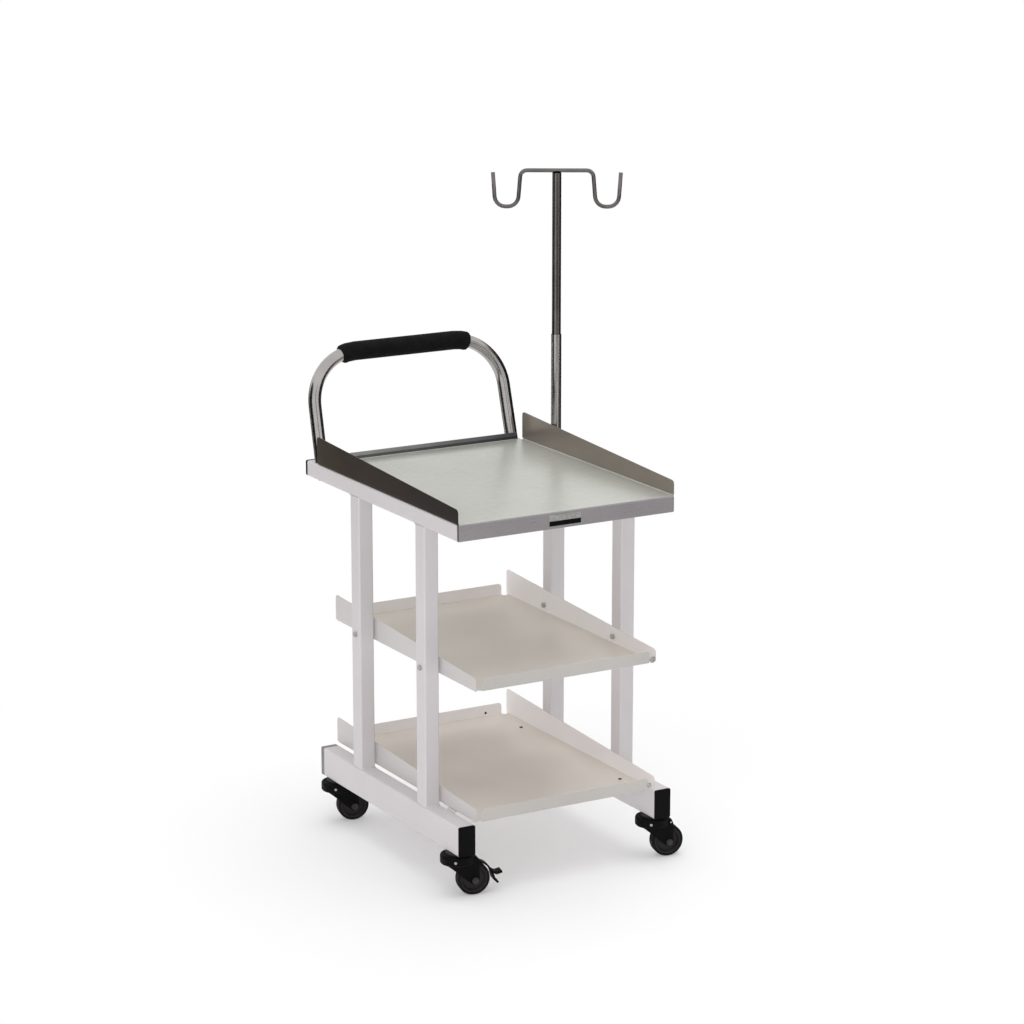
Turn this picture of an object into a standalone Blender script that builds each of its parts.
"""Three-level ward trolley with a push handle and a telescopic drip pole.

Metres, +Z up. The trolley is drawn with its front apron on the plane y = 0, its
centre line on x = 0 and the floor on z = 0. The last step slides the whole trolley
so that the origin is under the middle of its bounding box, on the floor.
"""
import bpy
import bmesh
import math
from mathutils import Matrix, Vector

# Clearances
GAP = 0.0003              # between two pieces that touch
RUN = 0.0004              # radial, between a shaft and what turns on it

# Top tray, one folded stainless sheet
TRAY_HEIGHT = 0.711       # floor to the upper face
TRAY_WIDTH = 0.456
TRAY_DEPTH = 0.556
TRAY_SHEET = 0.0012
APRON_DROP = 0.0314       # front apron, over the rails' ends
GUARD_REAR = 0.054        # side guards taper from rear to front
GUARD_FRONT = 0.028
TRAY_REAR_LIP = 0.014
LIP_SHORTFALL = 0.014     # a lip ends this far from the side guard

# Middle and lower shelves, one folded sheet each
SHELF_INSET = 0.036       # from the tray's side to the shelf's side
SHELF_SHEET = 0.0015
MIDDLE_SHELF_HEIGHT = 0.395
LOWER_SHELF_HEIGHT = 0.1465
SIDE_LIP_REAR = 0.052
SIDE_LIP_FRONT = 0.026
END_LIP = 0.024
BEND_RADIUS = 0.0022
CORNER_ROUND = 0.007
RELIEF_DEPTH = 0.001      # straight part of the round-bottomed notch between two lips

# Side frames, welded tube
RAIL_WIDTH = 0.034
RAIL_WALL = 0.0015
TUBE_CORNER = 0.003
TOP_RAIL_DEPTH = 0.030
TOP_RAIL_TAIL = 0.034     # from the handle's foot to the plugged end of the rail
BOTTOM_RAIL_DEPTH = 0.057
BOTTOM_RAIL_BASE = 0.086  # floor to the rail's underside
POST_WIDTH = 0.030
POST_DEPTH = 0.035
POST_WALL = 0.0015
FRONT_POST = 0.148        # centre of the post, from the apron
REAR_POST_INSET = 0.1505  # centre of the post, from the tray's rear edge
TOP_PLUG = 0.007          # plug heads that close the rails
REAR_PLUG = 0.012
FRONT_CAP = 0.003
PLUG_INSERT = 0.014
PLUG_WALL = 0.002

# Fasteners
SHELF_BOLT = 0.006        # diameter
SHELF_BOLT_RISE = 0.014   # above the shelf's underside
BOLT_HEAD = 0.0105
BOLT_HEAD_HEIGHT = 0.004
SHELF_NUT = 0.005         # thickness of the nut inside the lip
BOLT_COLLAR = 0.012       # between the post and the shelf's lip
CLEAT_FRONT = 0.094       # centre of the front shelf cleats, from the apron
CLEAT_REAR_INSET = 0.086  # centre of the rear ones, from the tray's rear edge
CLEAT_LENGTH = 0.026
CLEAT_LEG = 0.030
CLEAT_DROP = 0.028
CLEAT_SHEET = 0.003

# Push handle
HANDLE_TUBE = 0.025
HANDLE_WALL = 0.0015
HANDLE_SPACE = 0.0025     # from the tray's rear edge to the upright tube's side
HANDLE_LEAN = 15.0        # degrees back from upright
HANDLE_RISE = 0.198       # tray face to the tube's centre line
HANDLE_BEND = 0.100
HANDLE_NARROWING = 0.0035 # each leg leans in by this much over its height
HANDLE_BOLT = 0.008
HANDLE_BOLT_HEAD = 0.0055
HANDLE_DISC = 0.004       # thickness of the welded disc in the leg's foot
GRIP_LENGTH = 0.281
GRIP_DIAMETER = 0.037
GRIP_ROUND = 0.006

# Drip pole
POLE_STAND_OFF = 0.012    # from the tray's side to the pole's axis
POLE_BEHIND_POST = 0.0415
OUTER_TUBE = 0.020
POLE_WALL = 0.0008
OUTER_FOOT = 0.440
OUTER_TOP = 0.9386
INNER_TUBE = 0.0176
INNER_OVERLAP = 0.200     # length inside the outer tube at rest
INNER_TOP = 1.2532
SADDLE_STRAP = 0.002
SADDLE_HEIGHT = 0.016
SADDLE_FLANGE = 0.014
CLIP_HEIGHT = 0.470
HOOK_ROD = 0.008
HOOK_TURN = -31.0         # degrees from +X
HOOK_INNER = 0.0695       # pole axis to the corner of the inner leg
HOOK_DROP = 0.070
HOOK_FLARE = 0.0057       # outward lean of the inner leg over the drop
HOOK_WIDTH = 0.0432
HOOK_TIP = 0.004          # below the bar's centre line
HOOK_TIP_FLARE = 0.0045
HOOK_BEND = 0.013
HOOK_U_BEND = 0.0205

# Casters
CASTER_INSET = 0.037      # swivel axis from the rail's end
CASTER_TRAIL = 0.0286
CASTER_TURN = -13.0       # degrees from +X at rest
WHEEL_RADIUS = 0.031
TYRE_WIDTH = 0.022
TYRE_THICKNESS = 0.0047
HUB_WIDTH = 0.026
HUB_BOSS = 0.008
AXLE = 0.008
FORK_TOP = 0.0815
FORK_HALF_LENGTH = 0.0325
FORK_WIDTH = 0.036
FORK_BOSS = 0.009
WHEEL_SPACE = 0.0034      # tyre to the roof of the fork
STEM = 0.010
STEM_FLANGE = 0.022       # radius
STEM_NUT = 0.0085         # radius
SWIVEL_PIN = 0.012
SWIVEL_PIN_HEAD = 0.017   # diameter, inside the fork
CROWN_BASE = 0.033        # axle to the underside of the fork's crown
SLOT_ROOF = 0.0315        # axle to the flat roof behind the tyre's crown
SLOT_SPACE = 0.0022       # tyre's side to the leg
PIVOT_SPACE = 0.0052      # round the pedal's pivot
PEDAL_WIDTH = 0.018
PEDAL_SHEET = 0.0028
PEDAL_TOE = 0.0040        # thickness of the two toe pieces
PEDAL_PIN = 0.004
PEDAL_PIVOT_ANGLE = 84.0  # from the axle, above the trailing side
PEDAL_PIVOT_REACH = 0.0375
PEDAL_SPACE_TOP = 0.0016  # tyre to shoe at the top of the shoe
PEDAL_SPACE_FOOT = 0.0042 # and at its foot
SHOE_TOP_ANGLE = 66.0
SHOE_FOOT_ANGLE = 10.0
TOE_UPPER = ((0.0440, 0.0060), (0.0545, 0.0088))    # from the axle
TOE_LOWER = ((0.0395, -0.0045), (0.0468, -0.0118))

ROUND_SEGMENTS = 24

SHELF_WIDTH = TRAY_WIDTH - 2 * SHELF_INSET
REAR_POST = TRAY_DEPTH - REAR_POST_INSET
CLEAT_REAR = TRAY_DEPTH - CLEAT_REAR_INSET
HANDLE_FOOT = TRAY_DEPTH + HANDLE_SPACE + HANDLE_TUBE / 2
TOP_RAIL_REAR = HANDLE_FOOT + TOP_RAIL_TAIL
POLE_X = TRAY_WIDTH / 2 + POLE_STAND_OFF
POLE_Y = REAR_POST + POLE_BEHIND_POST
RAIL_X = TRAY_WIDTH / 2 - RAIL_WIDTH / 2
TOP_RAIL_TOP = TRAY_HEIGHT - TRAY_SHEET - GAP
TOP_RAIL_BASE = TOP_RAIL_TOP - TOP_RAIL_DEPTH
BOTTOM_RAIL_TOP = BOTTOM_RAIL_BASE + BOTTOM_RAIL_DEPTH
POST_OUTER = RAIL_X + POST_WIDTH / 2
POST_INNER = RAIL_X - POST_WIDTH / 2
SIDES = {"left": -1, "right": 1}
CASTERS = {
    "front_left": (-RAIL_X, CASTER_INSET, True),
    "front_right": (RAIL_X, CASTER_INSET, False),
    "rear_left": (-RAIL_X, TRAY_DEPTH - CASTER_INSET, False),
    "rear_right": (RAIL_X, TRAY_DEPTH - CASTER_INSET, True),
}


# Scene and materials

def clear_scene():
    for old in list(bpy.data.objects):
        bpy.data.objects.remove(old, do_unlink=True)


def make_material(name, color, roughness, metallic=0.0):
    material = bpy.data.materials.new(name)
    material.use_nodes = True
    shader = material.node_tree.nodes["Principled BSDF"]
    shader.inputs["Base Color"].default_value = (*color, 1.0)
    shader.inputs["Roughness"].default_value = roughness
    shader.inputs["Metallic"].default_value = metallic
    material.diffuse_color = (*color, 1.0)
    return material


def make_empty(name, parent=None, location=(0, 0, 0), turn=0.0):
    empty = bpy.data.objects.new(name, None)
    bpy.context.collection.objects.link(empty)
    empty.parent = parent
    empty.location = location
    empty.rotation_euler = (0, 0, math.radians(turn))
    return empty


def make_object(name, bm, material, parent, location=(0, 0, 0), smooth=None):
    bmesh.ops.recalc_face_normals(bm, faces=bm.faces)
    mesh = bpy.data.meshes.new(name)
    bm.to_mesh(mesh)
    bm.free()
    if smooth is not None:
        mesh.shade_smooth()
        mesh.set_sharp_from_angle(angle=math.radians(smooth))
    obj = bpy.data.objects.new(name, mesh)
    bpy.context.collection.objects.link(obj)
    obj.parent = parent
    obj.location = location
    if material is not None:
        mesh.materials.append(material)
    return obj


def make_cutter(name, bm, parent, location=(0, 0, 0)):
    cutter = make_object(name, bm, None, parent, location)
    cutter.hide_render = True
    cutter.display_type = "WIRE"
    return cutter


def boolean(obj, cutter, operation="DIFFERENCE"):
    modifier = obj.modifiers.new(cutter.name, "BOOLEAN")
    modifier.operation = operation
    modifier.object = cutter


# Outlines and solids

def arc(centre, radius, start, end, steps):
    """Points of an arc in a plane, angles in degrees."""
    points = []
    for step in range(steps + 1):
        angle = math.radians(start + (end - start) * step / steps)
        points.append((centre[0] + radius * math.cos(angle), centre[1] + radius * math.sin(angle)))
    return points


def rounded_rectangle(width, height, radius, steps=3):
    points = []
    for quarter, (sx, sy) in enumerate(((1, 1), (-1, 1), (-1, -1), (1, -1))):
        centre = (sx * (width / 2 - radius), sy * (height / 2 - radius))
        points += arc(centre, radius, 90 * quarter, 90 * quarter + 90, steps)
    return points


def rounded_path(corners, radii, steps=6):
    """Straight runs through the corners, each inner corner turned on its own radius."""
    corners = [Vector(corner) for corner in corners]
    points = [corners[0]]
    for before, corner, after, radius in zip(corners, corners[1:], corners[2:], radii):
        back = (before - corner).normalized()
        ahead = (after - corner).normalized()
        half = back.angle(ahead) / 2
        reach = radius / math.tan(half)
        centre = corner + (back + ahead).normalized() * (radius / math.sin(half))
        start = corner + back * reach - centre
        end = corner + ahead * reach - centre
        for step in range(steps + 1):
            points.append(centre + start.slerp(end, step / steps).normalized() * radius)
    points.append(corners[-1])
    return points


PLACE = {                 # a point of a flat outline, at a height along the named axis
    "X": lambda p, h: (h, p[0], p[1]),
    "Y": lambda p, h: (p[0], h, p[1]),
    "Z": lambda p, h: (p[0], p[1], h),
}


def prism(outline, low, high, axis="Z"):
    """An outline pushed from low to high along an axis; its other two axes keep their order."""
    place = PLACE[axis]
    bm = bmesh.new()
    base = [bm.verts.new(place(point, low)) for point in outline]
    face = bm.faces.new(base)
    pushed = bmesh.ops.extrude_face_region(bm, geom=[face])["geom"]
    shift = Vector(place((0, 0), high - low))
    bmesh.ops.translate(bm, verts=[v for v in pushed if isinstance(v, bmesh.types.BMVert)], vec=shift)
    return bm


def ring_loops(bm, rings, close_ends):
    """Skin a run of equal point rings; the run itself may be closed into a torus."""
    loops = [[bm.verts.new(point) for point in ring] for ring in rings]
    pairs = list(zip(loops, loops[1:]))
    if not close_ends:
        pairs.append((loops[-1], loops[0]))
    for first, second in pairs:
        count = len(first)
        for index in range(count):
            after = (index + 1) % count
            bm.faces.new((first[index], first[after], second[after], second[index]))
    if close_ends:
        bm.faces.new(loops[0])
        bm.faces.new(loops[-1])
    return bm


def hollow_bar(width, height, wall, low, high, axis):
    """Rectangular tube with rounded corners, open at both ends."""
    outer = rounded_rectangle(width, height, TUBE_CORNER)
    inner = rounded_rectangle(width - 2 * wall, height - 2 * wall, TUBE_CORNER - wall / 2)
    rings = [[PLACE[axis](p, h) for p in outline] for outline, h in
             ((outer, low), (outer, high), (inner, high), (inner, low))]
    return ring_loops(bmesh.new(), rings, close_ends=False)


def revolve(profile, segments=ROUND_SEGMENTS, axis="Z"):
    """Turn (radius, height) points about an axis. Points at radius 0 close the ends."""
    bm = bmesh.new()
    rows = []
    for radius, height in profile:
        if radius == 0:
            rows.append([bm.verts.new((0, 0, height))])
            continue
        row = []
        for index in range(segments):
            angle = 2 * math.pi * index / segments
            row.append(bm.verts.new((radius * math.cos(angle), radius * math.sin(angle), height)))
        rows.append(row)
    closed = rows[0][0].co.xy.length > 0
    pairs = list(zip(rows, rows[1:])) + ([(rows[-1], rows[0])] if closed else [])
    for first, second in pairs:
        for index in range(segments):
            after = (index + 1) % segments
            corners = [first[index % len(first)], first[after % len(first)],
                       second[after % len(second)], second[index % len(second)]]
            bm.faces.new(list(dict.fromkeys(corners)))
    if axis != "Z":
        turn = Matrix.Rotation(math.radians(90), 3, "X" if axis == "Y" else "Y")
        bmesh.ops.rotate(bm, verts=bm.verts, cent=(0, 0, 0), matrix=turn)
    return bm


def cylinder(radius, low, high, segments=ROUND_SEGMENTS, axis="Z"):
    return revolve([(0, low), (radius, low), (radius, high), (0, high)], segments, axis)


def section_rings(path, radius, sides):
    """One ring of points round each point of a path, square to the path, without twist."""
    rings = []
    normal = None
    for index, point in enumerate(path):
        before = path[max(index - 1, 0)]
        after = path[min(index + 1, len(path) - 1)]
        tangent = (after - before).normalized()
        if normal is None:
            normal = tangent.orthogonal().normalized()
        normal = (normal - tangent * normal.dot(tangent)).normalized()
        side = tangent.cross(normal)
        ring = []
        for step in range(sides):
            angle = 2 * math.pi * step / sides
            ring.append(point + (normal * math.cos(angle) + side * math.sin(angle)) * radius)
        rings.append(ring)
    return rings


def cut_level(ring, direction, height):
    """Slide a ring's points along a direction until all lie at one height."""
    return [point + direction * ((height - point.z) / direction.z) for point in ring]


# Folded sheet

def folded_sheet(width, depth, sheet, ends, sides):
    """A flat floor with a lip on each edge, as the sheet's middle surface.

    ends: (height, length, direction) of the front and rear lips. sides: (rear height,
    front height) of the two side lips, which run the whole depth. The floor's corners
    are notched between the lips. The floor lies at z = 0, its front edge at y = 0.
    """
    bm = bmesh.new()
    half = width / 2 - sheet / 2
    front, rear = sheet / 2, depth - sheet / 2
    bend = BEND_RADIUS
    outline = []
    corners = ((-1, front, 1, ends[0]), (1, front, 1, ends[0]),
               (1, rear, -1, ends[1]), (-1, rear, -1, ends[1]))
    edge_points = []
    for sx, edge_y, inward, (height, length, direction) in corners:
        edge_x = sx * (half - bend)
        lip_x = sx * min(length / 2, half - bend)
        fold_y = edge_y + inward * bend
        open_corner = abs(lip_x) < abs(edge_x)
        relief_y = fold_y + inward * (RELIEF_DEPTH if open_corner else bend)
        along = [(lip_x, fold_y)]
        if open_corner:
            middle, radius = (lip_x + edge_x) / 2, abs(edge_x - lip_x) / 2
            turn = arc((0, 0), radius, 180, 360, 6) if inward < 0 else arc((0, 0), radius, 180, 0, 6)
            turn = [(middle + sx * px, relief_y + py) for px, py in turn]
            along += turn
        else:
            along += [(edge_x, relief_y)]
        edge_points.append((along[0], along[-1]))
        outline += along if sx * inward > 0 else along[::-1]
    outline = list(dict.fromkeys(outline))
    floor = {}
    for x, y in outline:
        floor[(x, y)] = bm.verts.new((x, y, 0))
    bm.faces.new(floor.values())

    def fold(first, second, out, heights, direction, ends_at, rounding):
        """Turn a lip up or down along the floor's edge from first to second.

        Past the bend the lip may run on to the two places in ends_at.
        """
        rows = [[floor[first], floor[second]]]
        out = Vector((*out, 0))
        for step in range(1, 4):
            angle = math.radians(90 * step / 3)
            shift = out * (bend * math.sin(angle)) + Vector((0, 0, direction * bend * (1 - math.cos(angle))))
            rows.append([bm.verts.new(Vector((*point, 0)) + shift) for point in (first, second)])
        for (a, b), (c, d) in zip(rows, rows[1:]):
            bm.faces.new((a, b, d, c))
        low = [vert.co.copy() for vert in rows[-1]]
        along = (low[1] - low[0]).normalized()
        tops = []
        ends = ((low[1], heights[1], -1, ends_at[1]), (low[0], heights[0], 1, ends_at[0]))
        for point, height, way, reach in ends:
            rise = height - sheet / 2
            corner = point + along * (reach - point.dot(along))
            foot = bm.verts.new(corner) if (corner - point).length > GAP else None
            curve = []
            for step in range(4):
                angle = math.radians(90 * step / 3)
                position = corner + along * (way * rounding * (1 - math.cos(angle)))
                position.z = direction * (rise - rounding * (1 - math.sin(angle)))
                curve.append(bm.verts.new(position))
            run = ([foot] if foot else []) + curve
            tops += run if way < 0 else run[::-1]
        bm.faces.new(rows[-1] + tops)

    front_left, front_right, rear_right, rear_left = edge_points
    for left, right, out, (height, length, direction) in (
            (front_left[0], front_right[0], (0, -1), ends[0]),
            (rear_left[0], rear_right[0], (0, 1), ends[1])):
        rounding = CORNER_ROUND if direction > 0 else BEND_RADIUS
        fold(left, right, out, (height, height), direction, (-length / 2, length / 2), rounding)
    rear_height, front_height = sides
    for first, second, out in (
            (front_left[1], rear_left[1], (-1, 0)), (front_right[1], rear_right[1], (1, 0))):
        fold(first, second, out, (front_height, rear_height), 1, (0, depth), CORNER_ROUND)
    return bm


def thicken(obj, sheet):
    modifier = obj.modifiers.new("sheet", "SOLIDIFY")
    modifier.thickness = sheet
    modifier.offset = 0
    modifier.use_even_offset = True


def drill(obj, name, radius, low, high, location, axis, parent):
    """Cut a round hole of the given radius through an object."""
    boolean(obj, make_cutter(name, cylinder(radius, low, high, 16, axis), parent, location))


def strap_outline(path, thickness):
    """Outline of a strip bent along a path in a plane, mitred at every point."""
    path = [Vector(point) for point in path]
    left, right = [], []
    for index, point in enumerate(path):
        before = point - path[index - 1] if index else path[1] - point
        after = path[index + 1] - point if index < len(path) - 1 else before
        normal = (before.normalized() + after.normalized()).normalized().orthogonal()
        stretch = thickness / 2 / max(normal.dot(before.normalized().orthogonal()), 0.3)
        left.append(tuple(point + normal * stretch))
        right.append(tuple(point - normal * stretch))
    return left + right[::-1]


# Trays and shelves

def build_top_tray(parent, material):
    front = (APRON_DROP, TRAY_WIDTH, -1)
    rear = (TRAY_REAR_LIP + TRAY_SHEET, TRAY_WIDTH - 2 * LIP_SHORTFALL, 1)
    guards = (GUARD_REAR + TRAY_SHEET, GUARD_FRONT + TRAY_SHEET)
    bm = folded_sheet(TRAY_WIDTH, TRAY_DEPTH, TRAY_SHEET, (front, rear), guards)
    tray = make_object("top_tray", bm, material, parent, (0, 0, TRAY_HEIGHT - TRAY_SHEET / 2))
    thicken(tray, TRAY_SHEET)


def shelf_sheet(name, height, material, parent):
    lip = (END_LIP, SHELF_WIDTH - 2 * LIP_SHORTFALL, 1)
    bm = folded_sheet(SHELF_WIDTH, TRAY_DEPTH, SHELF_SHEET, (lip, lip), (SIDE_LIP_REAR, SIDE_LIP_FRONT))
    shelf = make_object(name, bm, material, parent, (0, 0, height + SHELF_SHEET / 2))
    thicken(shelf, SHELF_SHEET)
    return shelf


def build_middle_shelf(parent, material):
    shelf = shelf_sheet("middle_shelf", MIDDLE_SHELF_HEIGHT, material, parent)
    for row, y in (("front", FRONT_POST), ("rear", REAR_POST)):
        place = (0, y, MIDDLE_SHELF_HEIGHT + SHELF_BOLT_RISE)
        reach = SHELF_WIDTH / 2 + 0.002
        drill(shelf, f"shelf_holes_{row}", SHELF_BOLT / 2 + GAP, -reach, reach, place, "X", parent)


def build_shelf_bolt(side, row, y, parent, material):
    """Round-headed bolt out through the post, its collar against the shelf's lip, its nut inside."""
    sign = SIDES[side]
    lip_outer, lip_inner = SHELF_WIDTH / 2, SHELF_WIDTH / 2 - SHELF_SHEET
    shank, collar, head = SHELF_BOLT / 2, BOLT_COLLAR / 2, BOLT_HEAD / 2
    profile = [
        (0, lip_inner - GAP - SHELF_NUT), (head * 0.82, lip_inner - GAP - SHELF_NUT),
        (head, lip_inner - GAP - SHELF_NUT + 0.001), (head, lip_inner - GAP), (shank, lip_inner - GAP),
        (shank, lip_outer + GAP), (collar, lip_outer + GAP), (collar, POST_INNER - GAP),
        (shank, POST_INNER - GAP), (shank, POST_OUTER + GAP), (head, POST_OUTER + GAP),
        (head, POST_OUTER + GAP + BOLT_HEAD_HEIGHT - 0.001),
        (head * 0.82, POST_OUTER + GAP + BOLT_HEAD_HEIGHT), (0, POST_OUTER + GAP + BOLT_HEAD_HEIGHT),
    ]
    profile = [(radius, sign * height) for radius, height in profile]
    place = (0, y, MIDDLE_SHELF_HEIGHT + SHELF_BOLT_RISE)
    make_object(f"shelf_bolt_{side}_{row}", revolve(profile, 12, "X"), material, parent, place, 30)


def build_shelf_cleat(side, row, y, parent, material):
    """Angle that carries the lower shelf from the inner face of the bottom rail."""
    sign = SIDES[side]
    wall = TRAY_WIDTH / 2 - RAIL_WIDTH - GAP
    top = LOWER_SHELF_HEIGHT - GAP
    bend = CLEAT_SHEET
    path = [(wall - CLEAT_SHEET / 2, top - CLEAT_DROP)]
    path += arc((wall - CLEAT_SHEET / 2 - bend, top - CLEAT_SHEET / 2 - bend), bend, 0, 90, 3)
    path += [(wall - CLEAT_LEG, top - CLEAT_SHEET / 2)]
    outline = [(sign * x, z) for x, z in strap_outline(path, CLEAT_SHEET)]
    bm = prism(outline, y - CLEAT_LENGTH / 2, y + CLEAT_LENGTH / 2, "Y")
    make_object(f"shelf_cleat_{side}_{row}", bm, material, parent)


# Side frames

def build_top_rail(side, parent, material):
    front, rear = TRAY_SHEET / 2 + BEND_RADIUS + GAP, TOP_RAIL_REAR - TOP_PLUG - GAP
    place = (SIDES[side] * RAIL_X, 0, TOP_RAIL_TOP - TOP_RAIL_DEPTH / 2)
    bm = hollow_bar(RAIL_WIDTH, TOP_RAIL_DEPTH, RAIL_WALL, front, rear, "Y")
    rail = make_object(f"top_rail_{side}", bm, material, parent, place, 35)
    hole = HANDLE_BOLT / 2 + GAP
    drill(rail, f"handle_bolt_hole_{side}", hole, -TOP_RAIL_DEPTH, TOP_RAIL_DEPTH,
          (place[0], HANDLE_FOOT, place[2]), "Z", parent)


def build_bottom_rail(side, parent, material):
    front, rear = FRONT_CAP + GAP, TRAY_DEPTH - REAR_PLUG - GAP
    place = (SIDES[side] * RAIL_X, 0, BOTTOM_RAIL_BASE + BOTTOM_RAIL_DEPTH / 2)
    bm = hollow_bar(RAIL_WIDTH, BOTTOM_RAIL_DEPTH, RAIL_WALL, front, rear, "Y")
    rail = make_object(f"bottom_rail_{side}", bm, material, parent, place, 35)
    for row, y in (("front", CASTER_INSET), ("rear", TRAY_DEPTH - CASTER_INSET)):
        drill(rail, f"stem_hole_{side}_{row}", STEM / 2 + GAP, -0.01, 0.01,
              (place[0], y, BOTTOM_RAIL_BASE), "Z", parent)


def build_post(side, row, y, parent, material):
    base, top = BOTTOM_RAIL_TOP + GAP, TOP_RAIL_BASE - GAP
    bm = hollow_bar(POST_WIDTH, POST_DEPTH, POST_WALL, base, top, "Z")
    post = make_object(f"post_{side}_{row}", bm, material, parent, (SIDES[side] * RAIL_X, y, 0), 35)
    hole = (SIDES[side] * RAIL_X, y, MIDDLE_SHELF_HEIGHT + SHELF_BOLT_RISE)
    drill(post, f"bolt_hole_{side}_{row}", SHELF_BOLT / 2 + GAP, -POST_WIDTH, POST_WIDTH, hole, "X", parent)


def build_end_plug(name, x, z, depth, head, face, inward, parent, material):
    """Moulded plug: a head flush with the tube and a hollow insert inside it."""
    rim = rounded_rectangle(RAIL_WIDTH, depth, TUBE_CORNER)
    slack = 2 * (RAIL_WALL + GAP)
    insert = rounded_rectangle(RAIL_WIDTH - slack, depth - slack, TUBE_CORNER - RAIL_WALL / 2)
    hollow = rounded_rectangle(RAIL_WIDTH - slack - 2 * PLUG_WALL, depth - slack - 2 * PLUG_WALL,
                               TUBE_CORNER - RAIL_WALL / 2)
    seat = face + inward * head
    nose = seat + inward * PLUG_INSERT
    rows = ((rim, face), (rim, seat), (insert, seat), (insert, nose), (hollow, nose), (hollow, seat))
    rings = [[(px, y, pz) for px, pz in outline] for outline, y in rows]
    bm = ring_loops(bmesh.new(), rings, close_ends=True)
    make_object(name, bm, material, parent, (x, 0, z), 35)


# Push handle

def build_push_handle(parent, material):
    foot = TOP_RAIL_TOP + GAP
    top = TRAY_HEIGHT + HANDLE_RISE
    lean = math.tan(math.radians(HANDLE_LEAN))
    back = HANDLE_FOOT + (top - foot) * lean
    shoulder = RAIL_X - HANDLE_NARROWING
    corners = [(-RAIL_X, HANDLE_FOOT, foot), (-shoulder, back, top),
               (shoulder, back, top), (RAIL_X, HANDLE_FOOT, foot)]
    path = rounded_path(corners, (HANDLE_BEND, HANDLE_BEND), 9)
    left, right = path[1] - path[0], path[-2] - path[-1]
    outer = section_rings(path, HANDLE_TUBE / 2, 20)
    outer[0], outer[-1] = cut_level(outer[0], left, foot), cut_level(outer[-1], right, foot)
    bm = ring_loops(bmesh.new(), outer, close_ends=True)
    handle = make_object("push_handle", bm, material, parent, smooth=40)
    inner = section_rings(path, HANDLE_TUBE / 2 - HANDLE_WALL, 16)
    floor = foot + HANDLE_DISC
    inner[0], inner[-1] = cut_level(inner[0], left, floor), cut_level(inner[-1], right, floor)
    boolean(handle, make_cutter("handle_bore", ring_loops(bmesh.new(), inner, close_ends=True), parent))
    for side, sign in SIDES.items():
        drill(handle, f"handle_thread_{side}", HANDLE_BOLT / 2 + GAP, -HANDLE_DISC, 2 * HANDLE_DISC,
              (sign * RAIL_X, HANDLE_FOOT, foot), "Z", parent)
    return path


def build_foam_grip(tube_path, parent, material):
    """Sleeve that follows the tube: straight in the middle, its ends just round the bends."""
    half, outer, bore, curve = GRIP_LENGTH / 2, GRIP_DIAMETER / 2, HANDLE_TUBE / 2 + GAP, GRIP_ROUND
    inside = [point for point in tube_path if abs(point.x) < half - curve]
    stations = [(-half, -1)] + [(-half + curve * (1 - math.cos(math.radians(a))), a) for a in (30, 60, 90)]
    stations += [(point.x, 90) for point in inside]
    stations += [(half - curve * (1 - math.cos(math.radians(a))), a) for a in (90, 60, 30)] + [(half, -1)]

    def on_tube(x):
        for first, second in zip(tube_path, tube_path[1:]):
            if first.x <= x <= second.x and second.x > first.x:
                return first.lerp(second, (x - first.x) / (second.x - first.x))
        raise ValueError("the grip is longer than the handle is wide")

    centres = [on_tube(x) for x, _ in stations]
    rings = section_rings(centres, 1.0, ROUND_SEGMENTS)
    outer_rings = []
    for centre, ring, (_, angle) in zip(centres, rings, stations):
        radius = outer - curve * (1 - math.sin(math.radians(max(angle, 0))))
        outer_rings.append([centre + (point - centre) * radius for point in ring])
    bore_rings = [[centre + (point - centre) * bore for point in ring]
                  for centre, ring in zip(centres, rings)]
    bm = ring_loops(bmesh.new(), outer_rings + bore_rings[::-1], close_ends=False)
    make_object("foam_grip", bm, material, parent, smooth=40)


def build_handle_bolt(side, parent, material):
    """Bolt from under the top rail into the foot of the handle."""
    shank, head = HANDLE_BOLT / 2, HANDLE_BOLT * 0.85
    low, top = TOP_RAIL_BASE - GAP, TOP_RAIL_TOP + GAP + HANDLE_DISC + 0.002
    face = low - HANDLE_BOLT_HEAD
    profile = [(0, face), (head * 0.85, face), (head, face + 0.001), (head, low),
               (shank, low), (shank, top), (0, top)]
    make_object(f"handle_bolt_{side}", revolve(profile, 12), material, parent,
                (SIDES[side] * RAIL_X, HANDLE_FOOT, 0), 30)


# Drip pole

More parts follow.
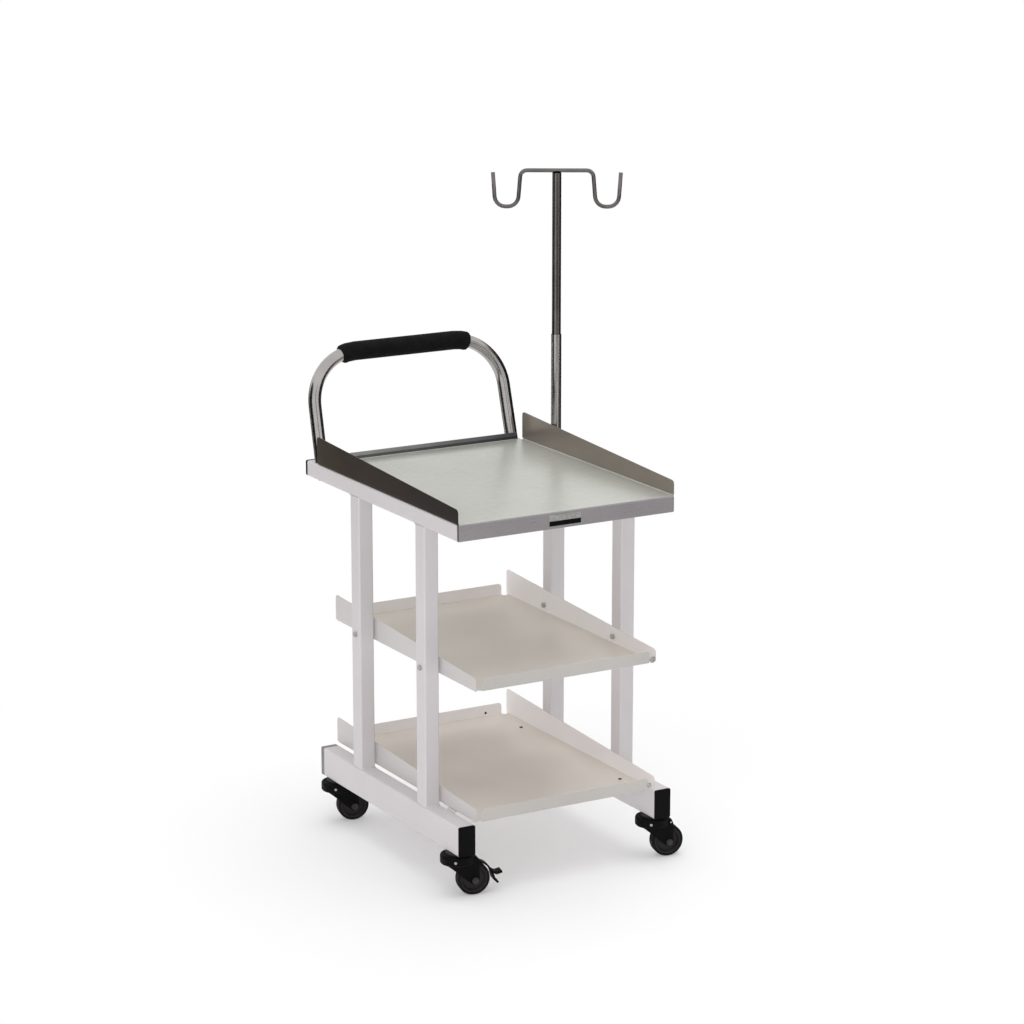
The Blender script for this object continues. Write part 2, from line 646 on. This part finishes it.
def build_pole(parent, steel, nylon):
    pole = make_empty("pole_axis", parent, (POLE_X, POLE_Y, 0))
    outer, bore = OUTER_TUBE / 2, OUTER_TUBE / 2 - POLE_WALL
    profile = [(bore, OUTER_FOOT), (bore, OUTER_TOP), (outer, OUTER_TOP), (outer, OUTER_FOOT)]
    make_object("pole_outer_tube", revolve(profile), steel, pole, smooth=40)

    foot = OUTER_TOP - INNER_OVERLAP
    flange, core = bore - RUN / 2, INNER_TUBE / 2 - POLE_WALL - RUN
    profile = [(0, foot - 0.012), (flange - 0.001, foot - 0.012), (flange, foot - 0.011),
               (flange, foot - RUN), (core, foot - RUN), (core, foot + 0.014),
               (core - 0.001, foot + 0.015), (0, foot + 0.015)]
    make_object("pole_bush", revolve(profile, 20), nylon, pole, smooth=40)

    head = make_empty("pole_turn", pole, turn=HOOK_TURN)
    outer, bore = INNER_TUBE / 2, INNER_TUBE / 2 - POLE_WALL
    profile = [(bore, foot), (bore, INNER_TOP), (outer, INNER_TOP), (outer, foot)]
    make_object("pole_inner_tube", revolve(profile), steel, head, smooth=40)

    bar = INNER_TOP + GAP + HOOK_ROD / 2
    wide = HOOK_INNER + HOOK_FLARE
    right = [(HOOK_INNER, bar), (wide, bar - HOOK_DROP), (wide + HOOK_WIDTH, bar - HOOK_DROP),
             (wide + HOOK_WIDTH + HOOK_TIP_FLARE, bar - HOOK_TIP)]
    corners = [(-x, 0, z) for x, z in right[::-1]] + [(x, 0, z) for x, z in right]
    radii = (HOOK_U_BEND, HOOK_U_BEND, HOOK_BEND, HOOK_BEND, HOOK_U_BEND, HOOK_U_BEND)
    rings = section_rings(rounded_path(corners, radii, 5), HOOK_ROD / 2, 12)
    make_object("pole_hook", ring_loops(bmesh.new(), rings, close_ends=True), steel, head, smooth=40)


def build_pole_saddle(parent, material):
    """Omega strap that holds the outer tube to the side of the top rail."""
    wall = TRAY_WIDTH / 2 + GAP + SADDLE_STRAP / 2 - POLE_X
    radius = OUTER_TUBE / 2 + GAP + SADDLE_STRAP / 2
    path = [(wall, -radius - SADDLE_FLANGE), (wall, -radius)]
    path += arc((0, 0), radius, -90, 90, 10)
    path += [(wall, radius), (wall, radius + SADDLE_FLANGE)]
    middle = TOP_RAIL_BASE + TOP_RAIL_DEPTH / 2
    bm = prism(strap_outline(path, SADDLE_STRAP), middle - SADDLE_HEIGHT / 2, middle + SADDLE_HEIGHT / 2)
    make_object("pole_saddle", bm, material, parent, (POLE_X, POLE_Y, 0), 40)


def build_pole_clip(parent, material):
    """Pipe clip on the outer face of the rear right post, its tail flat on the post."""
    wall = POST_OUTER + GAP + SADDLE_STRAP / 2 - POLE_X
    radius = OUTER_TUBE / 2 + GAP + SADDLE_STRAP / 2
    path = [(wall, REAR_POST - 0.011 - POLE_Y), (wall, -radius * 0.6)]
    path += arc((0, 0), radius, 168, -128, 16)
    low, high = CLIP_HEIGHT - SADDLE_HEIGHT / 2, CLIP_HEIGHT + SADDLE_HEIGHT / 2
    bm = prism(strap_outline(path, SADDLE_STRAP), low, high)
    make_object("pole_clip", bm, material, parent, (POLE_X, POLE_Y, 0), 40)


# Casters

def fork_outline():
    """Side view of a fork leg, from the axle, trailing side positive."""
    top = FORK_TOP - WHEEL_RADIUS
    back = -CASTER_TRAIL - FORK_HALF_LENGTH + 0.004
    outline = arc((0, 0), FORK_BOSS, 222, 360, 7)
    outline += [(0.0085, 0.018), (0.008, 0.037), (0.0045, 0.045), (-0.001, top - 0.003)]
    outline += [(back + 0.004, top - 0.003), (back, 0.037), (-0.034, 0.018), (-0.018, 0.003)]
    return outline


def slot_outline(pivot):
    """Room for the wheel and the brake pedal between the two legs of a fork."""
    space = WHEEL_RADIUS + WHEEL_SPACE
    start = math.degrees(math.acos((pivot[0] - PIVOT_SPACE) / space))
    end = 180 - math.degrees(math.asin(SLOT_ROOF / space))
    ahead, behind, under = 0.045, -0.075, -0.020
    outline = [(ahead, under), (ahead, pivot[1] + PIVOT_SPACE)]
    outline += arc(pivot, PIVOT_SPACE, 90, 180, 3)
    outline += arc((0, 0), space, start, end, 4)
    outline += [(behind, SLOT_ROOF), (behind, under)]
    return outline


def pedal_pivot():
    angle = math.radians(PEDAL_PIVOT_ANGLE)
    return (PEDAL_PIVOT_REACH * math.cos(angle), PEDAL_PIVOT_REACH * math.sin(angle))


def build_caster_mount(name, caster, parent, material):
    """Stem with its flange under the rail, its nut inside and its pin through the fork."""
    base, flange = BOTTOM_RAIL_BASE - GAP, FORK_TOP + RUN
    nut = BOTTOM_RAIL_BASE + RAIL_WALL + GAP
    roof = WHEEL_RADIUS + SLOT_ROOF - RUN
    pin, head = SWIVEL_PIN / 2, SWIVEL_PIN_HEAD / 2
    profile = [(0, nut + 0.010), (STEM / 2, nut + 0.010), (STEM / 2, nut + 0.0065), (STEM_NUT, nut + 0.0065),
               (STEM_NUT, nut), (STEM / 2, nut), (STEM / 2, base), (STEM_FLANGE, base), (STEM_FLANGE, flange),
               (pin, flange), (pin, roof), (head, roof), (head, roof - 0.002), (head - 0.0015, roof - 0.003),
               (0, roof - 0.003)]
    make_object(f"caster_mount_{name}", revolve(profile, 16), material, caster, smooth=30)


def build_fork(name, swivel, material):
    """Moulded fork: a round crown and two swept legs on either side of the wheel."""
    half = FORK_WIDTH / 2
    pivot = pedal_pivot()
    place = (CASTER_TRAIL, 0, WHEEL_RADIUS)
    legs = prism(fork_outline(), -half, half, "Y")
    fork = make_object(f"caster_fork_{name}", legs, material, swivel, place, 40)
    base = WHEEL_RADIUS + CROWN_BASE
    profile = [(0, FORK_TOP), (FORK_HALF_LENGTH - 0.004, FORK_TOP),
               (FORK_HALF_LENGTH - 0.0012, FORK_TOP - 0.0012),
               (FORK_HALF_LENGTH, FORK_TOP - 0.004), (FORK_HALF_LENGTH, base + 0.002),
               (FORK_HALF_LENGTH - 0.0015, base), (0, base)]
    crown = make_cutter(f"crown_{name}", revolve(profile, 28), swivel)
    crown.rotation_euler.z = math.radians(4)
    boolean(fork, crown, "UNION")
    inside = TYRE_WIDTH / 2 + SLOT_SPACE
    slot = prism(slot_outline(pivot), -inside, inside, "Y")
    boolean(fork, make_cutter(f"slot_{name}", slot, swivel, place))
    drill(fork, f"axle_hole_{name}", AXLE / 2 + GAP, -half - 0.01, half + 0.01, place, "Y", swivel)
    drill(fork, f"swivel_bore_{name}", SWIVEL_PIN / 2 + RUN, 0.04, FORK_TOP + 0.01, (0, 0, 0), "Z", swivel)
    drill(fork, f"pedal_hole_{name}", PEDAL_PIN / 2 + RUN, -half - 0.01, half + 0.01,
          (place[0] + pivot[0], 0, place[2] + pivot[1]), "Y", swivel)


def build_wheel(name, wheel, hub_material, tyre_material):
    rim = WHEEL_RADIUS - TYRE_THICKNESS
    face, half, web = HUB_WIDTH / 2 - 0.0006, TYRE_WIDTH / 2, 0.004
    bore = AXLE / 2 + RUN
    profile = [(bore, -face), (HUB_BOSS, -face), (HUB_BOSS + 0.0015, -web - 0.001), (rim * 0.8, -web),
               (rim * 0.87, -half + 0.001), (rim - GAP, -half + 0.001)]
    profile += [(radius, -height) for radius, height in profile[::-1]]
    make_object(f"wheel_hub_{name}", revolve(profile, 24, "Y"), hub_material, wheel, smooth=30)
    round_off = 0.0032
    tread = [(rim, -half)] + [(WHEEL_RADIUS - round_off + y, x - half + round_off)
                              for x, y in arc((0, 0), round_off, 180, 90, 2)]
    tread += [(radius, -height) for radius, height in tread[::-1]]
    make_object(f"tyre_{name}", revolve(tread, 36, "Y"), tyre_material, wheel, smooth=40)


def build_axle(name, swivel, material):
    side, shank, head = FORK_WIDTH / 2 + GAP, AXLE / 2, 0.0065
    profile = [(0, -side - 0.005), (head * 0.8, -side - 0.005), (head, -side - 0.004), (head, -side),
               (shank, -side), (shank, side), (head, side), (head, side + 0.0045), (shank, side + 0.0045),
               (shank, side + 0.006), (0, side + 0.006)]
    make_object(f"caster_axle_{name}", revolve(profile, 12, "Y"), material, swivel,
                (CASTER_TRAIL, 0, WHEEL_RADIUS), 30)


def build_brake_pedal(name, swivel, material):
    """Curved shoe round the tyre with a fishtail toe piece, hung on a cross pin."""
    pivot = pedal_pivot()
    hinge = make_empty(f"pedal_hinge_{name}", swivel, (CASTER_TRAIL + pivot[0], 0, WHEEL_RADIUS + pivot[1]))
    path = []
    for step in range(9):
        share = step / 8
        angle = math.radians(SHOE_TOP_ANGLE + (SHOE_FOOT_ANGLE - SHOE_TOP_ANGLE) * share)
        space = PEDAL_SPACE_TOP + (PEDAL_SPACE_FOOT - PEDAL_SPACE_TOP) * share
        radius = WHEEL_RADIUS + space + PEDAL_SHEET / 2
        path.append((radius * math.cos(angle) - pivot[0], radius * math.sin(angle) - pivot[1]))
    upper = [path[-2]] + [(x - pivot[0], z - pivot[1]) for x, z in TOE_UPPER]
    lower = [path[-1]] + [(x - pivot[0], z - pivot[1]) for x, z in TOE_LOWER]
    half = PEDAL_WIDTH / 2
    pedal = make_object(f"brake_pedal_{name}", prism(strap_outline(path, PEDAL_SHEET), -half, half, "Y"),
                        material, hinge, smooth=40)
    for part, run in (("toe_upper", upper), ("toe_lower", lower)):
        toe = prism(strap_outline(run, PEDAL_TOE), -half - 0.001, half + 0.001, "Y")
        boolean(pedal, make_cutter(f"{part}_{name}", toe, hinge), "UNION")
    first = path[0]
    web = [(-0.003, -0.002), (first[0] - 0.0005, first[1] - 0.0014), (first[0] + 0.003, first[1] - 0.0006),
           (0.0035, 0.0022), (-0.001, 0.0036)]
    shoulder = prism(web, -half + 0.0006, half - 0.0006, "Y")
    boolean(pedal, make_cutter(f"shoulder_{name}", shoulder, hinge), "UNION")
    reach = FORK_WIDTH / 2 - 0.0005
    boss = TYRE_WIDTH / 2 + 0.0012
    profile = [(0, -reach), (PEDAL_PIN / 2, -reach), (PEDAL_PIN / 2, -boss), (0.0040, -boss),
               (0.0040, boss), (PEDAL_PIN / 2, boss), (PEDAL_PIN / 2, reach), (0, reach)]
    boolean(pedal, make_cutter(f"cross_pin_{name}", revolve(profile, 16, "Y"), hinge), "UNION")


def build_caster(name, x, y, braked, parent, materials):
    caster = make_empty(f"caster_{name}", parent, (x, y, 0))
    build_caster_mount(name, caster, parent, materials["zinc"])
    swivel = make_empty(f"swivel_{name}", caster, turn=CASTER_TURN)
    build_fork(name, swivel, materials["black"])
    wheel = make_empty(f"wheel_{name}", swivel, (CASTER_TRAIL, 0, WHEEL_RADIUS))
    build_wheel(name, wheel, materials["hub"], materials["rubber"])
    build_axle(name, swivel, materials["zinc"])
    if braked:
        build_brake_pedal(name, swivel, materials["black"])


def centre_on_origin(root):
    """Slide the trolley so that the middle of its bounding box is over the origin."""
    bpy.context.view_layer.update()
    graph = bpy.context.evaluated_depsgraph_get()
    low, high = Vector((1e9, 1e9, 1e9)), Vector((-1e9, -1e9, -1e9))
    for obj in bpy.context.scene.objects:
        if obj.type != "MESH" or obj.hide_render:
            continue
        mesh = obj.evaluated_get(graph).to_mesh()
        for vertex in mesh.vertices:
            point = obj.matrix_world @ vertex.co
            low = Vector(map(min, low, point))
            high = Vector(map(max, high, point))
    root.location = (-(low.x + high.x) / 2, -(low.y + high.y) / 2, -low.z)


def build():
    clear_scene()
    root = make_empty("trolley")
    materials = {
        "white": make_material("white_enamel", (0.60, 0.60, 0.63), 0.38),
        "stainless": make_material("stainless_sheet", (0.62, 0.61, 0.58), 0.32, 1.0),
        "tube": make_material("bright_tube", (0.70, 0.70, 0.69), 0.18, 1.0),
        "zinc": make_material("zinc_plate", (0.55, 0.55, 0.54), 0.35, 1.0),
        "black": make_material("black_plastic", (0.012, 0.012, 0.013), 0.45),
        "plug": make_material("grey_plastic", (0.26, 0.26, 0.27), 0.50),
        "nylon": make_material("white_nylon", (0.70, 0.69, 0.65), 0.50),
        "foam": make_material("black_foam", (0.014, 0.014, 0.015), 0.90),
        "hub": make_material("dark_hub", (0.035, 0.035, 0.038), 0.50),
        "rubber": make_material("black_tyre", (0.010, 0.010, 0.010), 0.75),
    }
    build_top_tray(root, materials["stainless"])
    build_middle_shelf(root, materials["stainless"])
    shelf_sheet("lower_shelf", LOWER_SHELF_HEIGHT, materials["stainless"], root)
    for side, sign in SIDES.items():
        build_top_rail(side, root, materials["white"])
        build_bottom_rail(side, root, materials["white"])
        for row, y in (("front", FRONT_POST), ("rear", REAR_POST)):
            build_post(side, row, y, root, materials["white"])
            build_shelf_bolt(side, row, y, root, materials["zinc"])
        for row, y in (("front", CLEAT_FRONT), ("rear", CLEAT_REAR)):
            build_shelf_cleat(side, row, y, root, materials["zinc"])
        x = sign * RAIL_X
        top, bottom = TOP_RAIL_TOP - TOP_RAIL_DEPTH / 2, BOTTOM_RAIL_BASE + BOTTOM_RAIL_DEPTH / 2
        build_end_plug(f"top_rail_plug_{side}", x, top, TOP_RAIL_DEPTH, TOP_PLUG, TOP_RAIL_REAR, -1,
                       root, materials["black"])
        build_end_plug(f"bottom_rail_cap_{side}", x, bottom, BOTTOM_RAIL_DEPTH, FRONT_CAP, 0, 1,
                       root, materials["black"])
        build_end_plug(f"bottom_rail_plug_{side}", x, bottom, BOTTOM_RAIL_DEPTH, REAR_PLUG, TRAY_DEPTH, -1,
                       root, materials["plug"])
        build_handle_bolt(side, root, materials["zinc"])
    tube_path = build_push_handle(root, materials["tube"])
    build_foam_grip(tube_path, root, materials["foam"])
    build_pole(root, materials["tube"], materials["nylon"])
    build_pole_saddle(root, materials["stainless"])
    build_pole_clip(root, materials["stainless"])
    for name, (x, y, braked) in CASTERS.items():
        build_caster(name, x, y, braked, root, materials)
    centre_on_origin(root)


build()
